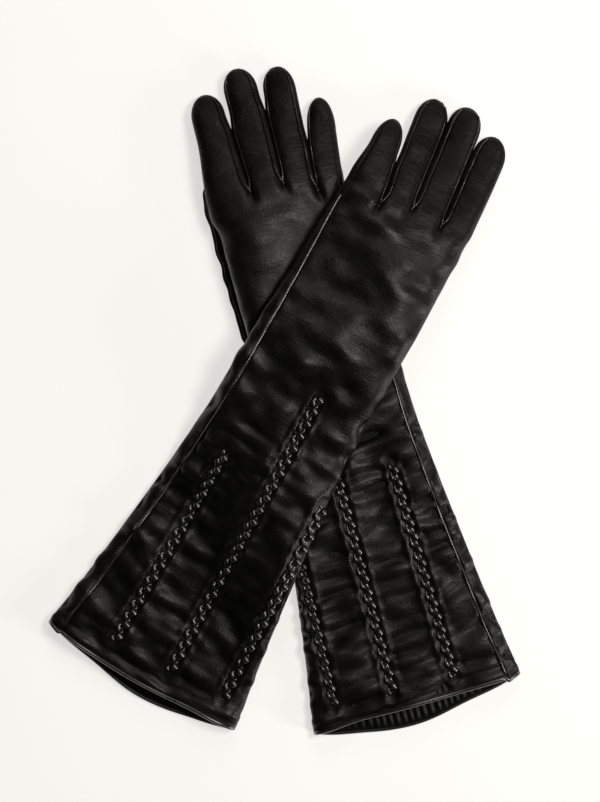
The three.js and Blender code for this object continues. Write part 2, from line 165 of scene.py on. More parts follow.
STITCH_SINKS = [-0.25, 0.05, 0.14, 0.05, -0.25]  # a stitch's height at five points along it
WHIP_STEP, WHIP_RADIUS = 1.35, 0.17
WHIP_REACH, WHIP_HEIGHT = [-0.8, -0.3, 0.3, 0.9, 1.3], [0.4, 0.95, 0.9, 0.65, 0.2]  # overcast stitch
WELT_RADIUS, WELT_OUT = 0.75, 0.7  # the outer seam's raised lip, and how far in from the seam it is
THREAD_OUT = 2.0  # from the outer seam to its line of stitches
FINGER_WELT = {"radius": 0.42, "lift": 0.35}
HEM_ROLL = 1.3
FACING_ROWS = 14  # rows of the hand that the facing reaches, 29 mm
FACING_PLEAT, FACING_DEEP = 4.4, 0.75  # spacing and depth of the facing's small pleats
INNER = 0.5  # thickness of the facing and the linings
LINING_INSET, LINING_FLAT = 2.6, 0.5
SOCK_FIT = [0.72, 1, 0.66]  # a finger's lining as shares of the finger's width, length and height
SMOOTHED = {"braid": 31, "welt": 17, "thread": 5}  # points averaged, so that each rides over creases
FINGER_BEND, BEND_CLEAR = 17, 0.6  # the length between a finger's two bend points, and how far past its crotches the first one lies
THUMB_SIDES, THUMB_ROWS = 28, 60
THUMB_GROOVE = 0.55  # depth of its two seams
THUMB_WRINKLES = [(0.35, [0.4, 1, 1], 9, 41), (0.5, [1, 1, 1], 40, 42)]
THUMB_WAVER = [(0.35, [0.2, 1, 1], 13, 43)]

# ---- the studio
LIGHTS = {  # place and size in metres, power in watts
    "key": ((0.72, 0.25, 1.25), 0.5, 6.9),
    "top": ((0.15, 1.45, 1.05), 0.8, 3.6),
    "rim": ((1.55, -0.8, 0.5), 0.5, 9.0),
}
LIGHT_TINT = (1.0, 0.975, 0.925)
WORLD_COLOUR = (0.022, 0.0215, 0.02, 1)
FLOOR_HALF = 15.0  # metres
FLOOR_DROP = 0.3  # the floor is this far below the gloves, so that the two don't share a plane
CAMERA_AT = (0.0105, -0.0006, 0.012)  # the point it looks at, level with the leather
CAMERA_FIELD, CAMERA_LENS, CAMERA_SENSOR = 0.497, 100.0, 36.0  # metres seen there, then millimetres

for side, glove in GLOVES.items():
    glove["side"] = side
    mouth = [m for m in frame["record"]["mounts"] if m["name"] == f"{side}_cuff_mouth"][0]
    glove["cuff"] = (mouth["pos_m"][0] / MM, mouth["pos_m"][1] / MM)


def smooth(t):
    t = np.clip(t, 0, 1)
    return t * t * (3 - 2 * t)


def mix(a, b, t):
    return a + (b - a) * t


def hump(t, half):
    """1 at t = 0, and falling off to about a third at half."""
    return np.exp(-(t / half) ** 2)


def rounded(values):
    """A table over OUTLINE_Y as a function of y, with its corners rounded off."""
    ys = np.arange(-40, 440, 1.0)
    dense = np.interp(ys, OUTLINE_Y, values)
    kernel = np.hanning(31)
    padded = np.pad(dense, 15, mode="edge")
    dense = np.convolve(padded, kernel / kernel.sum(), mode="valid")
    return lambda y: np.interp(y, ys, dense)


little_edge = rounded(OUTLINE_LITTLE)
thumb_edge = rounded(OUTLINE_THUMB)


def half_height(y):
    return mix(SHAFT_HEIGHT, HAND_HEIGHT, smooth((np.asarray(y, float) - 170) / 60)) / 2


def to_table(glove, x, y):
    """A place on a glove to one on the table, in millimetres."""
    a = math.radians(glove["angle"])
    across = (np.asarray(x) + np.interp(y, SWAY_Y, glove["sway"])) * glove["thumb_side"]
    return (glove["cuff"][0] + y * math.cos(a) + across * math.sin(a),
            glove["cuff"][1] + y * math.sin(a) - across * math.cos(a))


def from_table(glove, px, py):
    """The way back from to_table. It leaves out the sway, at most 2.2 mm."""
    a = math.radians(glove["angle"])
    dx, dy = px - glove["cuff"][0], py - glove["cuff"][1]
    across = (dx * math.sin(a) - dy * math.cos(a)) * glove["thumb_side"]
    return across, dx * math.cos(a) + dy * math.sin(a)


def tilt(x, y):
    """How far a hand is raised by its own thumb under it."""
    across = smooth((x - TILT_FROM) / TILT_ACROSS)
    along = smooth((y - TILT_STARTS) / TILT_GROWS) * (1 - smooth((y - TILT_ENDS) / TILT_OVER))
    return (THUMB["height"] + THUMB["clearance"]) * across * along


def drape(glove, x, y):
    """How far the left glove is raised by the right one under it."""
    if glove["side"] == "right":
        return np.zeros(np.broadcast(x, y).shape)
    across, along = from_table(GLOVES["right"], *to_table(glove, x, y))
    fall = smooth((DRAPE_FLAT + DRAPE_FALLS - np.abs(across)) / DRAPE_FALLS)
    return (UNDER_DRAPE + tilt(across, along)) * fall


def covered(x, y):
    """From 0 to 1, how surely a point of the right glove lies under the left one."""
    upper = GLOVES["left"]
    across, along = from_table(upper, *to_table(GLOVES["right"], x, y))
    width = np.where(across > 0, thumb_edge(along), little_edge(along))
    return smooth((width + 4 - np.abs(across)) / 8) * smooth((along + 6) / 6)


def to_row(glove, points, over_thumb=True):
    """Points (n, 3) of a glove's frame, in millimetres, to the row frame in metres."""
    x, y, z = np.asarray(points, float).T
    up = drape(glove, x, y) + (tilt(x, y) if over_thumb else 0)
    px, py = to_table(glove, x, y)
    return np.stack([px, py, z + up], 1) * MM


# ---- the leather shell of one glove

def edge_distance(x, y):
    return np.maximum(np.where(x > 0, thumb_edge(y) - x, little_edge(y) + x), 0)


def rounding(x, y, reach):
    """0 at a glove's edge and 1 from reach inwards, along a quarter of an ellipse."""
    d = np.clip(edge_distance(x, y) / reach, 0, 1)
    return np.sqrt(1 - (1 - d) ** 2)


def top_z(x, y):
    rise = rounding(x, y, SHOULDER)
    return 2 * half_height(y) * (EDGE_AT + (1 - EDGE_AT) * rise) + CROWN * rise * (1 - (x / 55) ** 2)


def bottom_z(x, y):
    return 2 * half_height(y) * EDGE_AT * (1 - rounding(x, y, SOLE))


def round_edge(y, side, inset_top, inset_bottom, count):
    """Points from the back round one edge to the palm, evenly spaced: count + 1 rows of (x, z)."""
    out = np.linspace(1, 0, 30) ** 2
    edge = thumb_edge(y) if side > 0 else little_edge(y)
    x_top, x_bottom = side * (edge - inset_top * out), side * (edge - inset_bottom * out[::-1])
    x = np.concatenate([x_top, x_bottom])
    z = np.concatenate([top_z(x_top, y), bottom_z(x_bottom, y)])
    length = np.concatenate([[0], np.cumsum(np.hypot(np.diff(x), np.diff(z)))])
    at = np.linspace(0, length[-1], count + 1)
    return np.stack([np.interp(at, length, x), np.interp(at, length, z)], 1)


def lanes(bounds):
    """LANE columns between each two of the bounds, ends included."""
    return np.concatenate([np.linspace(a, b, LANE, endpoint=False) for a, b in zip(bounds, bounds[1:])]
                          + [[bounds[-1]]])


def crotch_lines(glove, y):
    """x of the three lines that run down from between the fingers, at y."""
    out = []
    for x, _ in glove["crotch"]:
        edge = thumb_edge if x > 0 else little_edge
        out.append(x * edge(y) / edge(ROOT_Y))
    return out


def hand_ring(glove, y):
    """One closed row of the hand, from the outer seam across the back and home along the palm: x, z."""
    seam = -little_edge(y) + np.interp(y, SEAM_INSET_Y, SEAM_INSET)
    inner = crotch_lines(glove, y)
    back = lanes([seam, *inner, thumb_edge(y) - EDGE_INSET])
    palm = lanes([thumb_edge(y) - EDGE_INSET, *inner[::-1], -little_edge(y) + EDGE_INSET])
    thumb_round = round_edge(y, 1, EDGE_INSET, EDGE_INSET, EDGE)[1:-1]
    little_round = round_edge(y, -1, seam + little_edge(y), EDGE_INSET, STRIP)[::-1][1:-1]
    dip = CROTCH_DIP
    near_root = smooth((y - (ROOT_Y - dip["along"])) / dip["along"])
    between = sum(hump(back - c, dip["half"]) for c in inner)
    under = sum(hump(palm - c, dip["half"]) for c in inner)
    return np.concatenate([
        np.stack([back, top_z(back, y) - dip["back"] * near_root * between], 1), thumb_round,
        np.stack([palm, bottom_z(palm, y) + dip["palm"] * near_root * under], 1), little_round])


def bend_rows(glove, x, y, on_palm):
    """y of a row's points: the first rows bow out to the hem and the last ones follow the crotches."""
    u = x / np.where(x > 0, thumb_edge(y), little_edge(y))
    bow = np.where(on_palm, HEM_PALM, glove["hem_back"]) * np.maximum(1 - u ** 2, 0)
    notch = PALM_NOTCH["deep"] * on_palm * hump(u - PALM_NOTCH["at"], PALM_NOTCH["half"])
    bow += HEM_CORNER * smooth((u - 0.5) / 0.5) - notch
    ends = [OUTER_CROTCHES[0], *glove["crotch"], OUTER_CROTCHES[1]]
    shift = np.interp(x, [e[0] for e in ends], [e[1] - ROOT_Y for e in ends])
    return y - bow * np.clip(1 - y / HEM_FADES, 0, 1) + shift * smooth((y - 255) / (ROOT_Y - 255))


FIRST_PALM = 4 * LANE + EDGE
RING = FIRST_PALM + 4 * LANE + STRIP


def oval(half, high, angle):
    """A point of a finger's section, a slightly squared oval that stands on the table."""
    c, s = math.cos(angle), math.sin(angle)
    return (half * math.copysign(abs(c) ** 0.8, c), high * (1 + math.copysign(abs(s) ** 0.8, s)))


def finger_edges(glove, i, y):
    """Both sides of a finger at y. Neighbours touch until a little below the shorter one's tip."""
    def alone(k):
        spec = glove["fingers"][ORDER[k]]
        (x0, x1), (tip_x, tip_y) = spec["root"], spec["tip"]
        t = np.clip((y - ROOT_Y) / (tip_y - ROOT_Y), 0, 1)
        half = mix((x1 - x0) / 2 + FINGER_SPARE, spec["half"], smooth(t * 1.7))
        centre = mix((x0 + x1) / 2, tip_x, t)
        return centre - half, centre + half, tip_y

    low, high, tip = alone(i)

    def shared(mine, theirs, other_tip, way):
        touch = 1 - smooth((y - min(tip, other_tip) + TOUCH_ENDS) / PARTS_OVER)
        return mix(mine, (mine + theirs) / 2 + way * PRESSED, touch)

    if i > 0:
        _, other_high, other_tip = alone(i - 1)
        low = shared(low, other_high, other_tip, -1)
    if i < 3:
        other_low, _, other_tip = alone(i + 1)
        high = shared(high, other_low, other_tip, 1)
    return low, high


def finger_angles(lane, gusset_out, gusset_in):
    home, out = math.radians(SEAM_ANGLE["little"]), math.radians(SEAM_ANGLE["thumb"])
    parts = [np.linspace(math.pi - home, out, lane + 1), np.linspace(out, -out, gusset_out + 1)[1:],
             np.linspace(-out, home - math.pi, lane + 1)[1:],
             np.linspace(home - math.pi, -math.pi - home, gusset_in + 1)[1:-1]]
    return np.concatenate(parts)


class Shell:
    """A glove's leather as one mesh: vertices in the glove's frame, and a label on each face."""

    def __init__(self, glove):
        self.glove = glove
        self.points, self.faces, self.labels, self.seam = [], [], [], []
        self.finger_rows = {}
        self.rings = [self.hand_row(r) for r in range(HAND_ROWS + 1)]
        for low, high in zip(self.rings, self.rings[1:]):
            self.join(low, high, lambda j: "trank")
        walls = [self.crotch_wall(i) for i in range(3)]
        for i, name in enumerate(ORDER):
            self.finger(i, name, walls)

    def add(self, p, seam=0.0):
        self.points.append(p)
        self.seam.append(seam)
        return len(self.points) - 1

    def join(self, low, high, label):
        """Faces between two closed rows. label(j) names the piece that column j belongs to."""
        for j in range(len(low)):
            k = (j + 1) % len(low)
            self.faces.append((low[j], low[k], high[k], high[j]))
            self.labels.append(label(j))

    def hand_row(self, r):
        """Row r of the hand and sleeve, its edge drawn in beside the thumb."""
        y = ROOT_Y * r / HAND_ROWS
        xz = hand_ring(self.glove, y)
        over_thumb = smooth((y - 225) / 25) * (1 - smooth((y - 318) / 14))
        xz[:, 0] -= self.glove["drawn_in"] * over_thumb * smooth((xz[:, 0] - 22) / 18)
        on_palm = np.arange(RING) >= 4 * LANE + EDGE // 2
        ys = bend_rows(self.glove, xz[:, 0], y, on_palm)
        return [self.add((x, at, z), float(j == 0)) for j, ((x, z), at) in enumerate(zip(xz, ys))]

    def crotch_wall(self, i):
        """The short line from the back to the palm where two fingers part."""
        last = self.rings[-1]
        top, bottom = last[(i + 1) * LANE], last[FIRST_PALM + (3 - i) * LANE]
        a, b = np.array(self.points[top]), np.array(self.points[bottom])
        inner = [self.add(tuple(mix(a, b, k / GUSSET))) for k in range(1, GUSSET)]
        self.seam[top] = self.seam[bottom] = 1.0
        return inner

    def finger(self, i, name, walls):
        """A finger, from its share of the hand's last row and its crotch walls to its closed tip."""
        last, spec = self.rings[-1], self.glove["fingers"][name]
        back = last[i * LANE:(i + 1) * LANE + 1]
        start = FIRST_PALM + (3 - i) * LANE
        palm = last[start:start + LANE + 1]
        out = walls[i] if i < 3 else last[4 * LANE + 1:FIRST_PALM]
        home = walls[i - 1][::-1] if i > 0 else last[FIRST_PALM + 4 * LANE + 1:]
        root = back + out + palm + home
        angles = finger_angles(LANE, len(out) + 1, len(home) + 1)
        base = np.array([self.points[v] for v in root])
        x0, x1 = spec["root"]
        tip_x, tip_y = spec["tip"]
        length = tip_y - ROOT_Y
        straight = np.linspace(0, 1 - TIP_ROUND / length, FINGER_ROWS + 1)[1:]
        curve = 1 - TIP_ROUND / length * (1 - np.sin(np.linspace(0, math.pi / 2, TIP_ROWS + 1)[1:]))
        low = root
        self.finger_rows[name] = [root]
        seams = {0, LANE, LANE + len(out) + 1, 2 * LANE + len(out) + 1}
        if i == 3:
            seams -= {LANE, LANE + len(out) + 1}
        if i == 0:
            seams -= {2 * LANE + len(out) + 1}
        for t in np.concatenate([straight, curve]):
            left = (1 - t) * length / TIP_ROUND
            close = math.sqrt(max(1 - (1 - min(left, 1)) ** 2, 0))
            edge_low = finger_edges(self.glove, i, mix(base[0][1], tip_y, t))[0]
            edge_high = finger_edges(self.glove, i, mix(base[LANE][1], tip_y, t))[1]
            half = (edge_high - edge_low) / 2 * max(close, 0.12)
            high = HAND_HEIGHT / 2 * close ** 0.8 * mix(1, 0.94, t)
            centre = (edge_low + edge_high) / 2
            away = smooth(t * length / 10)
            row = []
            for v, angle in enumerate(angles):
                ox, oz = oval(half, high, angle)
                oz += HAND_HEIGHT / 2 * (1 - close ** 0.8) * 0.8
                slide = base[v][0] + (centre - (x0 + x1) / 2)
                y = base[v][1] + (tip_y - base[v][1]) * t
                row.append(self.add((mix(slide, centre + ox, away), y, mix(base[v][2], oz, away)),
                                    1.0 if v in seams and t < 0.93 else 0.0))
            self.join(low, row, lambda j: self.finger_label(name, i, j, t, len(out)))
            self.finger_rows[name].append(row)
            low = row
        middle = np.mean([self.points[v] for v in low], axis=0)
        for v in low:
            self.points[v] = tuple(mix(np.array(self.points[v]), middle, [0, 1, 1]))

    def finger_label(self, name, i, j, t, out):
        """The piece that column j belongs to at t along finger i, which has out columns on its wall."""
        if i == 3:
            walled = j > 2 * LANE + out and t < 0.9
            return f"{name}_fourchette_little_side" if walled else f"{name}_leather"
        if j < LANE:
            return f"{name}_back"
        if j <= LANE + out:
            return f"{name}_fourchette_thumb_side" if t < 0.9 else f"{name}_back"
        if j <= 2 * LANE + out or i == 0:
            return f"{name}_front"
        return f"{name}_fourchette_little_side" if t < 0.9 else f"{name}_back"


# ---- creasing the leather
def noise(points, scale, seed):
    """Smooth seeded noise of unit size at points (n, 3), the same on every run."""
    rng = np.random.default_rng(seed)
    total = np.zeros(len(points))
    for _ in range(14):
        wave = rng.normal(size=3)
        wave *= 2 * math.pi / scale / np.linalg.norm(wave) * rng.uniform(0.7, 1.4)
        total += np.sin(points @ wave + rng.uniform(0, 2 * math.pi))
    return total / math.sqrt(7)


def layered(points, layers, seed=0):
    return sum(high * noise(points * stretch, size, seed + own) for high, stretch, size, own in layers)


def braid_x(braid, y):
    return mix(braid["hem"], braid["top"], y / 205)


def braid_distance(x, y):
    """Distance from the nearest row of braid, in millimetres."""
    out = np.full(len(x), 99.0)
    for braid in BRAIDS.values():
        beyond = np.maximum(np.maximum(braid["from"] - y, y - braid["to"]), 0)
        out = np.minimum(out, np.hypot(x - braid_x(braid, y), beyond))
    return out


def hold(glove, p, seam):
    """How firmly each point of the leather keeps its place while the rest creases, from 0 to 1."""
    x, y, z = p.T
    firm = np.full(len(p), HELD["anywhere"])
    beside = smooth(1 - braid_distance(x, y) / BRAID_HOLDS)
    firm = np.maximum(firm, HELD["beside_braid"] * beside * (z > 5))
    firm = np.maximum(firm, HELD["seam"] * (seam > 0.5))
    firm = np.maximum(firm, (z < 1.5) * 1.0)  # it lies on the table
    firm = np.maximum(firm, HELD["hem"] * smooth(1 - (y + 14) / 16))
    if glove["side"] == "right":
        firm = np.maximum(firm, covered(x, y))
    return np.clip(firm, 0, 1)


def slack(glove, p):
    """The leather's length along the glove over the length it lies in, less one."""
    y = p[:, 1]
    upper = mix(glove["excess"], HAND_SLACK, smooth((y - 150) / 90))
    return mix(upper, FINGER_SLACK, smooth((y - 340) / 30))


def simulate(name, faces, lying, rest, firm):
    """Settles a sheet whose own size is rest from where it is lying. Returns the settled points."""
    mesh = bpy.data.meshes.new(name)
    mesh.from_pydata((lying * SIM_SCALE).tolist(), [], faces)
    obj = bpy.data.objects.new(name, mesh)
    bpy.context.scene.collection.objects.link(obj)
    obj.shape_key_add(name="lying")
    key_of_rest = obj.shape_key_add(name="rest")
    key_of_rest.data.foreach_set("co", (rest * SIM_SCALE).ravel())
    group = obj.vertex_groups.new(name="firm")
    levels = np.round(firm * 50).astype(int)
    for level in np.unique(levels):
        group.add(np.flatnonzero(levels == level).tolist(), level / 50, "REPLACE")
    cloth = obj.modifiers.new("cloth", "CLOTH")
    for key, value in CLOTH.items():
        setattr(cloth.settings, key, value)
    cloth.settings.rest_shape_key = key_of_rest
    cloth.settings.effector_weights.gravity = 0
    cloth.collision_settings.use_collision = False
    cloth.point_cache.frame_start, cloth.point_cache.frame_end = 1, SIM_FRAMES
    for f in range(1, SIM_FRAMES + 1):
        bpy.context.scene.frame_set(f)
    settled = obj.evaluated_get(bpy.context.evaluated_depsgraph_get()).to_mesh()
    out = points_of(settled) / SIM_SCALE
    bpy.context.scene.frame_set(1)
    bpy.data.objects.remove(obj)
    bpy.data.meshes.remove(mesh)
    return out


def crease(shell):
    """The shell's points after the leather has creased, still in the glove's frame."""
    glove = shell.glove
    lying = np.array(shell.points)
    firm = hold(glove, lying, np.array(shell.seam))
    bumpy = lying.copy()
    bumpy[:, 2] += (1 - firm) * (lying[:, 2] > 3) * layered(lying, BUMPS, glove["seed"])
    rest = bumpy.copy()
    order = np.argsort(lying[:, 1])
    ys = lying[order, 1]
    steps = np.diff(ys) * (1 + slack(glove, lying)[order][1:])
    rest[order, 1] = ys[0] + np.concatenate([[0], np.cumsum(steps)])
    rest[:, 0] *= SLACK_ACROSS
    settled = simulate("shell", shell.faces, bumpy, rest, firm)
    move = settled - lying
    far = np.linalg.norm(move, axis=1, keepdims=True)
    settled = lying + move * np.minimum(1, MOST_MOVED / np.maximum(far, 1e-6))
    settled[:, 2] = np.maximum(settled[:, 2], 0)
    return settled


# ---- materials
def node(tree, kind, inputs=None, **settings):
    """A shader node. inputs gives a value or the output that feeds each named socket."""
    made = tree.nodes.new(kind)
    for key, value in settings.items():
        setattr(made, key, value)
    for key, value in (inputs or {}).items():
        if isinstance(value, bpy.types.NodeSocket):
            tree.links.new(value, made.inputs[key])
        else:
            made.inputs[key].default_value = value
    return made


def shader(name, **sockets):
    made = bpy.data.materials.new(name)
    made.use_nodes = True
    tree = made.node_tree
    principled = tree.nodes["Principled BSDF"]
    for key, value in sockets.items():
        principled.inputs[key.replace("_", " ")].default_value = value
    return made, tree, principled


def maths(tree, operation, a, b):
    return node(tree, "ShaderNodeMath", {0: a, 1: b}, operation=operation).outputs[0]


def feed(tree, principled, **sockets):
    """Joins outputs to the shader's named sockets."""
    for key, output in sockets.items():
        tree.links.new(output, principled.inputs[key.replace("_", " ")])


def cloth_space(tree, scale=(1, 1, 1)):
    """Where a point was on the flat glove, in metres, so that a pattern stays put when a finger bends."""
    place = node(tree, "ShaderNodeAttribute", attribute_name="flat")
    return node(tree, "ShaderNodeMapping", {"Vector": place.outputs["Vector"], "Scale": scale}).outputs[0]


def noise_node(tree, vector, scale, detail=4.0, rough=0.55):
    return node(tree, "ShaderNodeTexNoise", {"Vector": vector, "Scale": scale, "Detail": detail,
                                             "Roughness": rough}).outputs["Fac"]


def wave_node(tree, vector, scale, distortion, direction):
    return node(tree, "ShaderNodeTexWave", {"Vector": vector, "Scale": scale, "Distortion": distortion},
                bands_direction=direction).outputs["Fac"]


def ramp(tree, value, low, high, from_low=0.3, from_high=0.7):
    return node(tree, "ShaderNodeMapRange", {"Value": value, "From Min": from_low, "From Max": from_high,
                                             "To Min": low, "To Max": high}).outputs[0]


def blend_colour(tree, factor, a, b):
    return node(tree, "ShaderNodeMix", {"Factor": factor, "A": (*a, 1), "B": (*b, 1)},
                data_type="RGBA").outputs["Result"]


def bump(tree, height, distance, strength=1.0, below=None):
    inputs = {"Height": height, "Distance": distance, "Strength": strength}
    if below is not None:
        inputs["Normal"] = below
    return node(tree, "ShaderNodeBump", inputs).outputs[0]


def finger_share(tree):
    """0 on the hand and sleeve, 1 on the fingers."""
    place = node(tree, "ShaderNodeAttribute", attribute_name="flat")
    y = node(tree, "ShaderNodeSeparateXYZ", {"Vector": place.outputs["Vector"]}).outputs["Y"]
    return ramp(tree, y, 0.35, 1.0, 0.318, 0.345)


def leather_material(name, dark, light, rough, grain=1.0, crease_bump=1.0, specular=0.4, ior=1.5):
    """Black nappa: pores, fine creases across the glove and random tone, with painted shade darkening the
    hollows and a painted highlight lightening the high spots, which are also rubbed shinier.
    """
    made, tree, principled = shader(name, IOR=ior)
    flat = cloth_space(tree)
    pores = node(tree, "ShaderNodeTexVoronoi", {"Vector": flat, "Scale": 1150.0}).outputs["Distance"]
    across = noise_node(tree, cloth_space(tree, (0.32, 1.0, 1.0)), 420.0, 5.0, 0.6)
    broad = noise_node(tree, flat, 38.0, 3.0)
    patches = noise_node(tree, flat, 120.0, 4.0)
    ridge = node(tree, "ShaderNodeAttribute", attribute_name="ridge").outputs["Fac"]
    # ridge paints shade into the creases and a lighter highlight onto the high spots, over the leather's
    # random tone; it also makes the high spots less rough
    rub_and_painted_shading = ramp(tree, ridge, 0.0, 1.0, 0.1, 0.9)
    tone_and_painted_shading = maths(tree, "MULTIPLY", broad, rub_and_painted_shading)
    colour = blend_colour(tree, ramp(tree, tone_and_painted_shading, 0.0, 1.0, 0.0, 0.75), dark, light)
    polish = ramp(tree, rub_and_painted_shading, 0.0, 0.07, 0.0, 1.0)
    roughness = maths(tree, "SUBTRACT", ramp(tree, patches, *rough), polish)
    sheen = ramp(tree, finger_share(tree), specular, 0.5 * specular, 0.35, 1.0)
    creases = bump(tree, maths(tree, "MULTIPLY", across, finger_share(tree)), 0.0011 * crease_bump, 0.5)
    skin = bump(tree, pores, 0.00018 * grain, 0.5, creases)
    feed(tree, principled, Base_Color=colour, Roughness=roughness, Specular_IOR_Level=sheen, Normal=skin)
    return made


def knit_material(name, dark, light):
    """Fine rib knit: columns of loops along the glove."""
    made, tree, principled = shader(name, Roughness=0.85, Sheen_Weight=0.25, Sheen_Roughness=0.5)
    flat = cloth_space(tree)
    ribs = wave_node(tree, flat, 160.0, 0.6, "X")
    loops = wave_node(tree, flat, 210.0, 0.9, "Y")
    knit = maths(tree, "MULTIPLY", ribs, loops)
    feed(tree, principled, Base_Color=blend_colour(tree, knit, dark, light),
         Normal=bump(tree, knit, 0.0004, 0.7))
    return made


def thread_material(name):
    """Twisted sewing thread."""
    made, tree, principled = shader(name, Roughness=0.6, Specular_IOR_Level=0.25)
    place = node(tree, "ShaderNodeTexCoord").outputs["Object"]
    twist = wave_node(tree, place, 900.0, 1.5, "DIAGONAL")
    colour = blend_colour(tree, twist, (0.002, 0.002, 0.002), (0.01, 0.0095, 0.009))
    feed(tree, principled, Base_Color=colour, Normal=bump(tree, twist, 0.00015, 0.6))
    return made


def floor_material():
    made, tree, principled = shader("floor_paper", Roughness=0.9, Specular_IOR_Level=0.1,
                                    Emission_Color=(1.0, 0.98, 0.94, 1), Emission_Strength=0.65)
    place = node(tree, "ShaderNodeTexCoord").outputs["Object"]
    fibre = noise_node(tree, place, 60.0)
    feed(tree, principled, Base_Color=blend_colour(tree, fibre, (0.80, 0.80, 0.795), (0.82, 0.82, 0.815)))
    return made


LEATHER_OUT = leather_material("black_nappa", (0.0022, 0.0021, 0.0018), (0.0085, 0.008, 0.0068),
                               (0.36, 0.52), crease_bump=1.5)
LEATHER_IN = leather_material("flesh_side", (0.003, 0.003, 0.003), (0.007, 0.007, 0.0065),
                              (0.6, 0.75), grain=1.6)
# A darker copy of the nappa: painted shade for the fourchettes, which face sideways between the fingers;
# it is also a little rougher
GUSSETS_PAINTED_SHADE = leather_material("black_nappa_fourchette", (0.0018, 0.0018, 0.0016), (0.005, 0.0048, 0.0042),
                           (0.46, 0.6))
FACINGS = leather_material("cuff_facing_leather", (0.003, 0.003, 0.0028), (0.009, 0.0086, 0.008),
                           (0.38, 0.5), grain=0.7)
LACES = leather_material("leather_lace", (0.002, 0.002, 0.0018), (0.006, 0.0057, 0.005),
                         (0.26, 0.32), grain=0.4, crease_bump=0.2, specular=1.0, ior=1.78)
KNIT = knit_material("rib_knit_lining", (0.003, 0.003, 0.0035), (0.014, 0.014, 0.016))
THREAD = thread_material("sewing_thread")


# ---- pieces from meshes
def write(mesh, name, values, kind="FLOAT", domain="POINT"):
    """Stores a number or a vector for each vertex or face of a mesh."""
    layer = mesh.attributes.new(name, kind, domain)
    layer.data.foreach_set("vector" if kind == "FLOAT_VECTOR" else "value", np.ravel(values))


def new_object(glove, name, points, faces, materials, flat):
    """A smooth piece of one glove. flat is where its points were on the flat glove, in metres."""
    name = f"{glove['side']}_{name}"
    mesh = bpy.data.meshes.new(name)
    mesh.from_pydata(np.asarray(points).tolist(), [], faces)
    for material in materials:
        mesh.materials.append(material)
    mesh.polygons.foreach_set("use_smooth", [True] * len(mesh.polygons))
    write(mesh, "flat", np.asarray(flat, np.float32), "FLOAT_VECTOR")
    obj = bpy.data.objects.new(name, mesh)
    bpy.context.scene.collection.objects.link(obj)
    return obj


def baked(obj):
    """The object with its modifiers made real."""
    graph = bpy.context.evaluated_depsgraph_get()
    mesh = bpy.data.meshes.new_from_object(obj.evaluated_get(graph))
    obj.modifiers.clear()
    old, obj.data = obj.data, mesh
    bpy.data.meshes.remove(old)
    mesh.name = obj.name
    return obj


def subdivide(obj):
    step = obj.modifiers.new("smooth", "SUBSURF")
    step.levels = step.render_levels = 1
    return baked(obj)


def thicken(obj, thickness, inner=0):
    """Grows a surface inwards. inner is the material of its inside and rim."""
    step = obj.modifiers.new("thickness", "SOLIDIFY")
    step.thickness, step.offset = thickness, -1
    step.use_even_offset = False
    step.material_offset = step.material_offset_rim = inner
    return baked(obj)


def pull(items, name, kind=int, width=1):
    """One property of all the items, as an array."""
    out = np.empty(len(items) * width, kind)
    items.foreach_get(name, out)
    return out.reshape(-1, width) if width > 1 else out


def read(mesh, name, width=1):
    """A named attribute of a mesh: a number for each vertex, or a vector where width is 3."""
    return pull(mesh.attributes[name].data, "vector" if width == 3 else "value", np.float32, width)


def points_of(mesh):
    return pull(mesh.vertices, "co", float, 3)


def normals_of(mesh):
    return pull(mesh.vertex_normals, "vector", float, 3)


def unit(vectors):
    return vectors / np.linalg.norm(vectors, axis=1, keepdims=True)


def lengths(points):
    """How far along a line each of its points is."""
    return np.concatenate([[0], np.cumsum(np.linalg.norm(np.diff(points, axis=0), axis=1))])


def along_line(at, length, values):
    """The vectors at places along a line, from those known at each length."""
    return np.stack([np.interp(at, length, values[:, k]) for k in range(3)], -1)


def tube_faces(rows, columns):
    """Quads of a grid of rows by columns whose columns close into a ring."""
    out = []
    for r in range(rows - 1):
        for c in range(columns):
            d = (c + 1) % columns
            out.append((r * columns + c, r * columns + d, (r + 1) * columns + d, (r + 1) * columns + c))
    return out


def capped_tube_faces(rows, columns):
    """Outward faces of a tube of rows rings, with both of its ends closed."""
    end = (rows - 1) * columns
    caps = [tuple(range(columns)), tuple(range(end, end + columns))[::-1]]
    return [face[::-1] for face in tube_faces(rows, columns)] + caps


def oriented(glove, faces):
    """Faces that look outwards on either glove: the right one is a mirror image."""
    return faces if glove["thumb_side"] > 0 else [f[::-1] for f in faces]


def added(obj):
    """A piece the CAD has no part for; it is returned as it is."""
    return obj


def stands_for(obj, glove, *parts):
    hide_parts(*[f"{glove['side']}_{part}" for part in parts])
    return obj


def lies_with(obj, glove):
    """A piece of the hand or sleeve, which goes where its glove goes."""
    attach(obj, f"{glove['side']}_glove")


# ---- the leather, finished and cut up
def ridges(mesh, points, normals):
    """How far each vertex stands out among its neighbours: 0 in a crease, 1 on a high spot. The leather
    colours it as painted shade in the creases and a painted highlight on the high spots, and makes those
    spots shinier.
    """
    ends = pull(mesh.edges, "vertices", width=2)
    a, b = ends.T
    count = np.bincount(ends.ravel(), minlength=len(points))

    def neighbours(values):
        total = np.zeros_like(values)
        np.add.at(total, a, values[b])
        np.add.at(total, b, values[a])
        return total / (count[:, None] if values.ndim > 1 else count)

    out = ((points - neighbours(points)) * normals).sum(1) / (0.05 * MM)
    for _ in range(3):
        out = 0.4 * out + 0.6 * neighbours(out)
    return np.clip(0.35 + out, 0, 1)


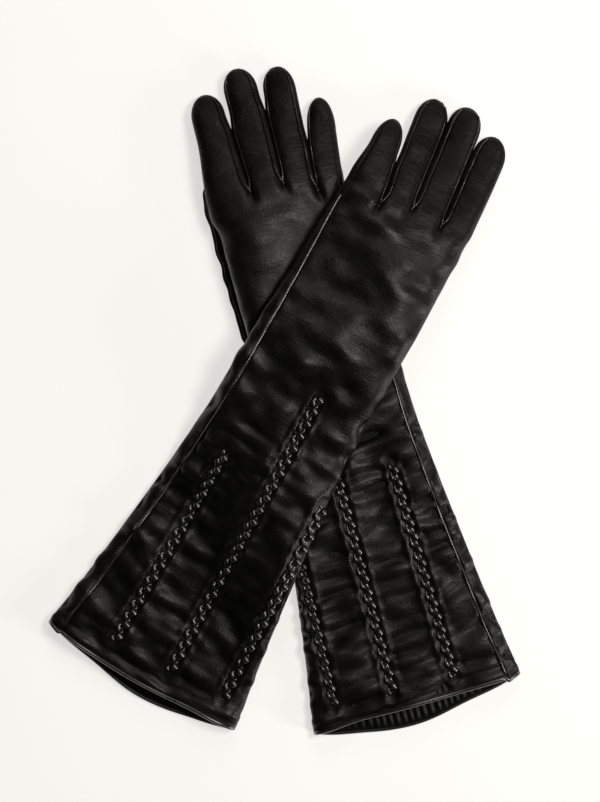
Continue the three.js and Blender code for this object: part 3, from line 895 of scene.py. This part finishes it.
def sewn_relief(glove, flat, seam):
    """Height in millimetres that sewing and braiding raise or sink the leather's face."""
    x, y, z = (flat / MM).T
    from_hem = y + glove["hem_back"] * np.maximum(1 - (x / 66) ** 2, 0)
    on_back = smooth((z - 4) / 3)
    d = braid_distance(x, y)
    beads = np.sin(2 * math.pi * y / BEAD_STEP)
    ends = np.min([smooth(np.minimum(y - b["from"], b["to"] - y) / 12) + (np.abs(x - braid_x(b, y)) > 9)
                   for b in BRAIDS.values()], axis=0)
    lip = LIP["high"] * hump(d - LIP["out"], LIP["half"]) * (1 + LIP["beads"] * beads)
    lip = lip * np.clip(ends, 0, 1)
    bed = -BED["deep"] * smooth((BED["half"] - d) / BED["slope"])
    slanted = np.column_stack([0.3 * x, y + 0.2 * x, 0 * x])
    ripple = noise(slanted, GATHERS["size"], GATHERS["seed"])
    ripple = ripple - 0.35 * np.abs(ripple)
    gathers = GATHERS["high"] * ripple + GATHERS["beads"] * beads * smooth((12 - d) / 8)
    gathers = glove["pleats"] * gathers
    gathers *= 1 - 0.85 * smooth((y - 160) / 50)
    dents = glove["dents"] * on_back * smooth((d - 2) / 9) * mix(1, 0.55, smooth((y - 200) / 60))
    dents = dents * layered(flat / MM, DENTS)
    (cx, cy), (half_x, half_y) = KNUCKLE_AT, KNUCKLE_HALF
    knuckle = glove["knuckle"] * np.exp(-((x - cx) / half_x) ** 2 - ((y - cy) / half_y) ** 2) * on_back
    hem = HEM_RIDGE["high"] * hump(from_hem - HEM_RIDGE["at"], HEM_RIDGE["half"])
    hem = hem - HEM_LINE["deep"] * hump(from_hem - HEM_LINE["at"], HEM_LINE["half"])
    groove = -SEAM_GROOVE * seam ** 1.6
    if glove["side"] == "right":
        dents *= 1 - covered(x, y)
        gathers *= 1 - covered(x, y)
    fades = smooth((from_hem + 1) / 5) * (1 - smooth((y - 320) / 8))
    sewn = on_back * (y < 230) * (lip + bed + gathers * fades * smooth((d - 3) / 4))
    return sewn + hem * (y < 20) + groove + dents * fades + knuckle


def cut_piece(glove, name, whole, normals, keep, materials):
    """The faces of the whole leather that belong to one piece, with the whole's shading kept."""
    mesh = whole.data
    loops = pull(mesh.loops, "vertex_index")
    starts = pull(mesh.polygons, "loop_start")
    totals = pull(mesh.polygons, "loop_total")
    slots = pull(mesh.polygons, "material_index")
    chosen = np.flatnonzero(keep)
    faces = [loops[starts[f]:starts[f] + totals[f]] for f in chosen]
    used = np.unique(np.concatenate(faces))
    renumber = np.full(len(mesh.vertices), -1)
    renumber[used] = np.arange(len(used))
    piece = new_object(glove, name, points_of(mesh)[used], [renumber[f].tolist() for f in faces],
                       materials, read(mesh, "flat", 3)[used])
    write(piece.data, "ridge", read(mesh, "ridge")[used])
    piece.data.polygons.foreach_set("material_index", slots[chosen])
    piece.data.normals_split_custom_set_from_vertices(normals[used].tolist())
    return piece


def finger_bend(glove, shell, name):
    """Two points along a finger, clear of its crotches, between which it would bend."""
    i = ORDER.index(name)
    spec = glove["fingers"][name]
    columns = list(range(i * LANE, (i + 1) * LANE + 1))
    root = to_row(glove, np.array([shell.points[shell.rings[-1][c]] for c in columns]))
    middle = [(spec["root"][0] + spec["root"][1]) / 2, ROOT_Y, HAND_HEIGHT / 2]
    a, b = to_row(glove, np.array([middle, [*spec["tip"], HAND_HEIGHT / 2]]))
    way = (b - a) * [1, 1, 0]
    way /= np.linalg.norm(way)
    first = max(float((p - a) @ way) for p in root) + BEND_CLEAR * MM
    return tuple(a + way * first), tuple(a + way * (first + FINGER_BEND * MM))


def bend_with(obj, glove, shell, name):
    """Works out where a piece of a finger would bend, though nothing uses those points, then bakes the
    piece's placement into its mesh.
    """
    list(finger_bend(glove, shell, name))
    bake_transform(obj)


def make_leather(glove):
    """One glove's leather: built, creased, sewn, thickened and cut into its panels."""
    shell = Shell(glove)
    lying = np.array(shell.points)
    creased = crease(shell)
    order = list(dict.fromkeys(shell.labels))
    whole = new_object(glove, "whole", to_row(glove, creased), oriented(glove, shell.faces),
                       [LEATHER_OUT, LEATHER_IN], lying * MM)
    write(whole.data, "seam", shell.seam)
    write(whole.data, "piece", [order.index(label) for label in shell.labels], "INT", "FACE")
    subdivide(whole)
    mesh = whole.data
    points, normals = points_of(mesh), normals_of(mesh)
    points += normals * sewn_relief(glove, read(mesh, "flat", 3), read(mesh, "seam"))[:, None] * MM
    mesh.vertices.foreach_set("co", points.ravel())
    mesh.update()
    write(mesh, "ridge", ridges(mesh, points, normals_of(mesh)))
    surface = BVHTree.FromPolygons(points.tolist(), [list(p.vertices) for p in mesh.polygons])
    thicken(whole, LEATHER * MM, 1)
    mesh = whole.data
    normals = normals_of(mesh)
    labels = pull(mesh.attributes["piece"].data, "value")
    for k, label in enumerate(order):
        # the fourchettes take the darker copy of the nappa, painted shade
        outer = GUSSETS_PAINTED_SHADE if "fourchette" in label else LEATHER_OUT
        obj = cut_piece(glove, f"{label}_panel", whole, normals, labels == k, [outer, LEATHER_IN])
        if label == "trank":
            lies_with(stands_for(obj, glove, "trank_back", "trank_palm"), glove)
            continue
        name = label.split("_")[0]
        parts = [f"{name}_back", f"{name}_front"] if label.endswith("leather") else [label]
        bend_with(stands_for(obj, glove, *parts), glove, shell, name)
    bpy.data.objects.remove(whole)
    return shell, creased, surface


# ---- tubes: laces, threads and welts
def tube(path, ups, radius, sides, flatten=1.0):
    """Vertices and faces of a round-ended tube along path. radius is a number or one for each point."""
    path, ups = np.asarray(path, float), np.asarray(ups, float)
    radius = np.broadcast_to(radius, len(path))
    along = unit(np.gradient(path, axis=0))
    across = unit(np.cross(along, ups))
    up = np.cross(across, along)
    first, last = path[0] - along[0] * radius[0] * 0.5, path[-1] + along[-1] * radius[-1] * 0.5
    path = np.concatenate([[first], path, [last]])
    across = np.concatenate([across[:1], across, across[-1:]])
    up = np.concatenate([up[:1], up, up[-1:]])
    radius = np.concatenate([[radius[0] * 0.45], radius, [radius[-1] * 0.45]])
    turn = np.linspace(0, 2 * math.pi, sides, endpoint=False)
    cos, sin = np.cos(turn)[None, :, None], np.sin(turn)[None, :, None]
    ring = across[:, None] * cos + up[:, None] * flatten * sin
    points = path[:, None] + ring * radius[:, None, None]
    return points.reshape(-1, 3), capped_tube_faces(len(path), sides)


class Parts:
    """Many small meshes gathered into one object."""

    def __init__(self):
        self.points, self.faces, self.count = [], [], 0

    def add(self, points, faces):
        self.points.append(points)
        self.faces += [tuple(v + self.count for v in face) for face in faces]
        self.count += len(points)

    def make(self, glove, name, material):
        points = np.concatenate(self.points)
        return new_object(glove, name, points, self.faces, [material], points)


def drop_on(surface, glove, flat_points, window):
    """Points of the glove's back under the given (x, y) and their normals, averaged over a window."""
    flat_points = np.asarray(flat_points, float)
    start = to_row(glove, np.column_stack([flat_points, np.full(len(flat_points), 40.0)]))
    guess = to_row(glove, np.column_stack([flat_points, top_z(*flat_points.T)]))
    points, normals = [], []
    for s, g in zip(start, guess):
        hit, normal, _, _ = surface.ray_cast(Vector(s), Vector((0, 0, -1)))
        points.append(hit if hit is not None else Vector(g))
        normals.append(normal if hit is not None and normal.z > 0 else Vector((0, 0, 1)))
    return steady(np.array(points), window), steady(np.array(normals), window)


def steady(values, window):
    """A moving average of the rows, with as many rows as before."""
    kernel = np.hanning(window + 2)[1:-1]
    kernel /= kernel.sum()
    padded = np.pad(values, ((window // 2, window - 1 - window // 2), (0, 0)), mode="edge")
    return np.stack([np.convolve(padded[:, k], kernel, mode="valid") for k in range(values.shape[1])], 1)


def make_braid(glove, surface, name, braid):
    """A row of three leather laces plaited together and laid along the back of the sleeve."""
    y = np.arange(braid["from"], braid["to"] + 0.1, LACE_STEP)
    base, up = drop_on(surface, glove, np.column_stack([braid_x(braid, y), y]), SMOOTHED["braid"])
    across = np.cross(unit(np.gradient(base, axis=0)), up)
    parts = Parts()
    ends = np.minimum(y - y[0], y[-1] - y)
    for strand in range(3):
        turn = 2 * math.pi * (y / LACE_PERIOD + strand / 3)
        swing = LACE_SWING * np.sin(turn) * smooth(ends / 4 + 0.3)
        knot = np.exp(-((1 - np.cos(2 * turn - KNOT["turn"])) / KNOT["half"]) ** KNOT["power"])
        proud = swing > 0
        lift = mix(-LACE_DIPS, np.where(proud, KNOT_LIFT["high"], KNOT_LIFT["low"]), knot)
        lift -= LACE_ENDS_SINK * smooth(1 - ends / 3.5)
        radius = mix(LACE_RADIUS, np.where(proud, KNOT_RADIUS["high"], KNOT_RADIUS["low"]), knot)
        path = base + across * swing[:, None] * MM + up * lift[:, None] * MM
        parts.add(*tube(path, up, radius * MM, LACE_SIDES, LACE_FLAT))
    lies_with(stands_for(parts.make(glove, f"{name}_laces", LACES), glove, name), glove)


def whip(parts, points, normals, across):
    """Overcast stitches that cross a seam."""
    length = lengths(points) / MM
    for at in np.arange(0.8, length[-1], WHIP_STEP):
        centre, up, side = (along_line(at, length, values) for values in (points, normals, across))
        path = centre + side * np.c_[WHIP_REACH] * MM + up * np.c_[WHIP_HEIGHT] * MM
        parts.add(*tube(path, np.tile(up, (len(path), 1)), WHIP_RADIUS * MM, 5))


def sew(parts, points, normals):
    """Stitches along a line of points on the leather."""
    length = lengths(points) / MM
    at = 0.5
    while at + STITCH < length[-1]:
        s = np.linspace(at, at + STITCH, len(STITCH_SINKS))
        path, up = along_line(s, length, points), along_line(s, length, normals)
        parts.add(*tube(path + up * np.c_[STITCH_SINKS] * MM, up, THREAD_RADIUS * MM, 5))
        at += STITCH + STITCH_GAP


def make_stitching(glove, shell, surface):
    """The outer seam's thread and raised lip, and the overcast seams up each finger's sides that face a
    neighbour.
    """
    parts, welts = Parts(), Parts()
    y = np.arange(1, 322, 1.5)
    seam = -little_edge(y) + np.interp(y, SEAM_INSET_Y, SEAM_INSET)
    sew(parts, *drop_on(surface, glove, np.column_stack([seam + THREAD_OUT, y]), SMOOTHED["thread"]))
    points, normals = drop_on(surface, glove, np.column_stack([seam + WELT_OUT, y]), SMOOTHED["welt"])
    welts.add(*tube(points + normals * WELT_RADIUS * MM, normals, WELT_RADIUS * MM, 8))
    lies_with(added(welts.make(glove, "outer_seam_welt", LACES)), glove)
    lies_with(added(parts.make(glove, "sleeve_thread", THREAD)), glove)
    for i, name in enumerate(ORDER):
        parts, welts = Parts(), Parts()
        lines = [(0, 1.0)] if i > 0 else []  # the seams that face a neighbour, and the way inwards
        if i < 3:
            lines.append((LANE, -1.0))
        for column, inward in lines:
            line = np.array([shell.points[row[column]] for row in shell.finger_rows[name][:-3]])
            y_new = np.arange(line[0, 1] + 0.5, line[-1, 1], 1.0)
            x_new = np.interp(y_new, line[:, 1], line[:, 0])
            at = np.column_stack([x_new, y_new])
            points, normals = drop_on(surface, glove, at, SMOOTHED["thread"])
            across = np.cross(np.gradient(points, axis=0), normals) * inward * glove["thumb_side"]
            whip(parts, points, normals, unit(across))
            path = points + normals * FINGER_WELT["lift"] * MM
            welts.add(*tube(path, normals, FINGER_WELT["radius"] * MM, 8))
        thread = added(parts.make(glove, f"{name}_thread", THREAD))
        welt = added(welts.make(glove, f"{name}_seam_welt", LACES))
        bend_with(thread, glove, shell, name)
        bend_with(welt, glove, shell, name)


# ---- inside the gloves
def shrunk(ring, inset, flatten):
    """A ring of a glove's section, drawn in at its sides and flattened towards its middle."""
    middle = (ring.max(0) + ring.min(0)) / 2
    half = (ring[:, 0].max() - ring[:, 0].min()) / 2
    out = ring.copy()
    out[:, 0] = middle[0] + (ring[:, 0] - middle[0]) * (1 - inset / half)
    out[:, 2] = middle[2] + (ring[:, 2] - middle[2]) * flatten
    return out


def inner_piece(glove, name, points, faces, material):
    obj = new_object(glove, name, to_row(glove, points), oriented(glove, faces), [material], points * MM)
    return thicken(subdivide(obj), INNER * MM)


def make_facing(glove, shell, creased):
    """The gathered leather facing inside the hem."""
    rows = []
    for r in range(FACING_ROWS):
        ring = shrunk(creased[shell.rings[r]], 1.3 + 0.5 * min(r, 2), mix(0.8, 0.66, min(r / 3, 1)))
        fine = np.concatenate([ring, ring[:1]])
        at = np.arange(0, RING + 0.01, 1 / 3)[:-1]
        ring = along_line(at, np.arange(RING + 1), fine)
        middle = (ring[:, 2].max() + ring[:, 2].min()) / 2
        inward = np.sign(middle - ring[:, 2]) * smooth(np.abs(middle - ring[:, 2]) / 2)
        wobble = 0.8 * noise(ring * [1, 0.1, 0.1], 23, 31)
        depth = FACING_DEEP * smooth((r - 0.2) / 2) * (1 - 0.4 * r / FACING_ROWS)
        ring[:, 2] += inward * depth * (1 + np.sin(2 * math.pi * ring[:, 0] / FACING_PLEAT + wobble))
        ring[:, 1] += 0.35
        rows.append(ring)
    obj = inner_piece(glove, "cuff_facing_gathered", np.concatenate(rows),
                      tube_faces(FACING_ROWS, 3 * RING), FACINGS)
    lies_with(stands_for(obj, glove, "cuff_facing_back", "cuff_facing_palm"), glove)


def make_hem_roll(glove, shell, creased):
    """The turned edge of the leather, a soft round lip along the whole hem."""
    ring = creased[shell.rings[0]] * [1 - HEM_ROLL / 66, 1, 0.96] + [0, 0.1, HEM_ROLL * 0.6]
    ring[:, 2] = np.maximum(ring[:, 2], HEM_ROLL)
    path = to_row(glove, np.concatenate([ring, ring[:1]]))
    ups = (path - path.mean(0)) * [0.02, 0.02, 1]
    ups[:, 2] = np.sign(ups[:, 2] + 1e-6) * np.maximum(np.abs(ups[:, 2]), 0.5 * MM)
    parts = Parts()
    parts.add(*tube(path, ups, HEM_ROLL * MM, 10))
    lies_with(added(parts.make(glove, "hem_roll", LACES)), glove)


def make_linings(glove, shell, creased):
    """The knitted lining: a sleeve and hand, and a sock in each finger."""
    rings = [shrunk(creased[shell.rings[r]], LINING_INSET, LINING_FLAT)[::2]
             for r in range(FACING_ROWS - 1, HAND_ROWS + 1, 3)]
    obj = inner_piece(glove, "hand_lining_knit", np.concatenate(rings),
                      tube_faces(len(rings), len(rings[0])), KNIT)
    lies_with(stands_for(obj, glove, "hand_lining"), glove)
    for name in ORDER:
        rings = []
        for row in shell.finger_rows[name][1:-2:2]:
            ring = creased[row]
            rings.append(ring.mean(0) + (ring - ring.mean(0)) * SOCK_FIT)
        count = len(rings[0])
        points = np.concatenate([*rings, [rings[-1].mean(0) + [0, 1.5, 0]]])
        faces = tube_faces(len(rings), count)
        last = (len(rings) - 1) * count
        faces += [(last + c, last + (c + 1) % count, len(points) - 1) for c in range(count)]
        obj = inner_piece(glove, f"{name}_lining_knit", points, faces, KNIT)
        bend_with(stands_for(obj, glove, f"{name}_lining"), glove, shell, name)


# ---- thumbs
def make_thumb(glove):
    """The thumb, folded flat under the palm and pointing to the fingertips."""
    columns, rows = THUMB_SIDES, THUMB_ROWS
    along = np.linspace(THUMB_ALONG[0], THUMB_ALONG[-1], rows)
    half = steady(np.interp(along, THUMB_ALONG, THUMB_HALF)[:, None], 5)[:, 0]
    rise = steady(np.interp(along, THUMB_ALONG, THUMB_RISE)[:, None], 5)[:, 0]
    a = math.radians(glove["swing"])
    points, seam = [], []
    for y, w, h in zip(along, half, rise):
        for c in range(columns):
            ox, oz = oval(w, THUMB["height"] / 2 * h, 2 * math.pi * c / columns)
            oz += THUMB["height"] / 2 * (1 - h)
            points.append((THUMB["x"] + glove["thumb_out"] + ox * math.cos(a) - y * math.sin(a),
                           THUMB["y"] + ox * math.sin(a) + y * math.cos(a), oz))
            seam.append(1.0 if c in (2, columns // 2 - 2) else 0.0)
    points = np.array(points)
    shape = points.copy()
    wrinkle = 0.25 * np.abs(layered(points, THUMB_WRINKLES))
    shape[:, 2] -= np.sign(points[:, 2] - THUMB["height"] / 2) * wrinkle
    shape[:, 0] += layered(points, THUMB_WAVER)
    obj = new_object(glove, "thumb_leather", to_row(glove, shape, over_thumb=False),
                     oriented(glove, capped_tube_faces(rows, columns)), [LEATHER_OUT], points * MM)
    write(obj.data, "seam", seam)
    subdivide(obj)
    mesh = obj.data
    placed, normals = points_of(mesh), normals_of(mesh)
    placed -= normals * (THUMB_GROOVE * read(mesh, "seam") ** 1.5)[:, None] * MM
    mesh.vertices.foreach_set("co", placed.ravel())
    write(mesh, "ridge", ridges(mesh, placed, normals))
    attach(stands_for(obj, glove, "thumb_upper", "thumb_lower"), f"{glove['side']}_thumb")


for glove in GLOVES.values():
    shell, creased, surface = make_leather(glove)
    for name, braid in BRAIDS.items():
        make_braid(glove, surface, name, braid)
    make_stitching(glove, shell, surface)
    make_facing(glove, shell, creased)
    make_hem_roll(glove, shell, creased)
    make_linings(glove, shell, creased)
    make_thumb(glove)


# ---- floor, lights and camera
def make_floor():
    mesh = bpy.data.meshes.new("floor")
    corners = [(x * FLOOR_HALF, y * FLOOR_HALF, 0) for x, y in ((-1, -1), (1, -1), (1, 1), (-1, 1))]
    mesh.from_pydata(corners, [], [(0, 1, 2, 3)])
    mesh.materials.append(floor_material())
    floor = bpy.data.objects.new("floor", mesh)
    floor.location.z = -FLOOR_DROP * MM
    bpy.context.scene.collection.objects.link(floor)


def make_light(name, place, size, power):
    """A round lamp that faces the gloves."""
    light = bpy.data.lights.new(name, "AREA")
    light.shape = "DISK"
    light.size = size
    light.energy = power
    light.color = LIGHT_TINT
    obj = bpy.data.objects.new(name, light)
    obj.location = place
    obj.rotation_euler = (-Vector(place)).to_track_quat("-Z", "Y").to_euler()
    bpy.context.scene.collection.objects.link(obj)


def make_camera():
    """Straight above the gloves, which lie a little left of the middle of the frame."""
    camera = bpy.data.cameras.new("camera")
    camera.lens, camera.sensor_width = CAMERA_LENS, CAMERA_SENSOR
    obj = bpy.data.objects.new("camera", camera)
    x, y, z = CAMERA_AT
    obj.location = (x, y, z + CAMERA_FIELD * CAMERA_LENS / CAMERA_SENSOR)
    bpy.context.scene.collection.objects.link(obj)
    bpy.context.scene.camera = obj


def make_world():
    world = bpy.data.worlds.new("studio")
    bpy.context.scene.world = world
    world.use_nodes = True
    world.node_tree.nodes["Background"].inputs["Color"].default_value = WORLD_COLOUR
    bpy.context.scene.view_settings.view_transform = "Standard"


make_floor()
for name, (place, size, power) in LIGHTS.items():
    make_light(name, place, size, power)
make_camera()
make_world()
